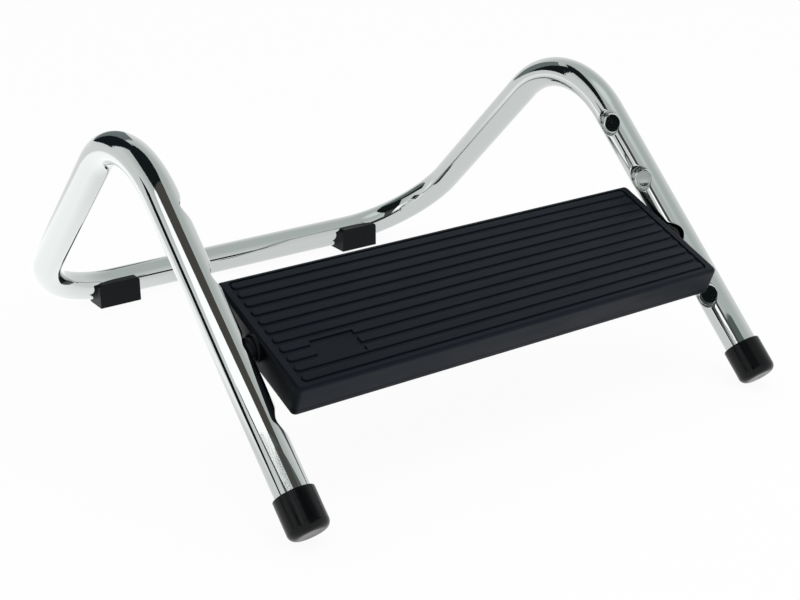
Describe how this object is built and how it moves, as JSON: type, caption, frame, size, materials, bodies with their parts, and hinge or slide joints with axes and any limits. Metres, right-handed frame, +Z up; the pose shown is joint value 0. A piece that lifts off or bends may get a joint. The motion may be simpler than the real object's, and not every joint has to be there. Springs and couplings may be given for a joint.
{
  "type": "under-desk footrest",
  "caption": "Free-standing footrest: a ribbed black tread tilts on end bosses held in the seats pressed into the legs of a bent chrome tube frame.",
  "frame": {"origin": "middle of the outline on the floor: halfway between the legs and halfway from the front caps to the rear clips", "axes": "+Z up, -Y towards the user who puts their feet on the tread, +X to that user's right as they face +Y"},
  "size_m": [0.4401, 0.4876, 0.2157],
  "materials": {
    "chrome_tube": "bright chrome plate over bent steel tube",
    "cap_rubber": "glossy black moulded rubber",
    "clip_plastic": "black moulded plastic",
    "tread_plastic": "blue-black satin moulded plastic",
    "rod_steel": "drawn steel rod",
    "boss_plastic": "black bearing plastic",
    "screw_steel": "blackened steel"
  },
  "bodies": {
    "frame": {"frame_tube": "chrome_tube", "front_cap_left": "cap_rubber", "front_cap_right": "cap_rubber", "rear_clip_left": "clip_plastic", "rear_clip_right": "clip_plastic"},
    "tread": {"tread_top": "tread_plastic", "tread_tray": "tread_plastic", "pivot_rod": "rod_steel", "pivot_boss_left": "boss_plastic", "pivot_boss_right": "boss_plastic", "tray_screws": "screw_steel"}
  },
  "joints": [
    {"name": "tread_tilt", "type": "hinge", "parent": "frame", "child": "tread", "pos_m": [0, -0.14279, 0.09995], "axis": [1, 0, 0], "continuous": true}
  ]
}
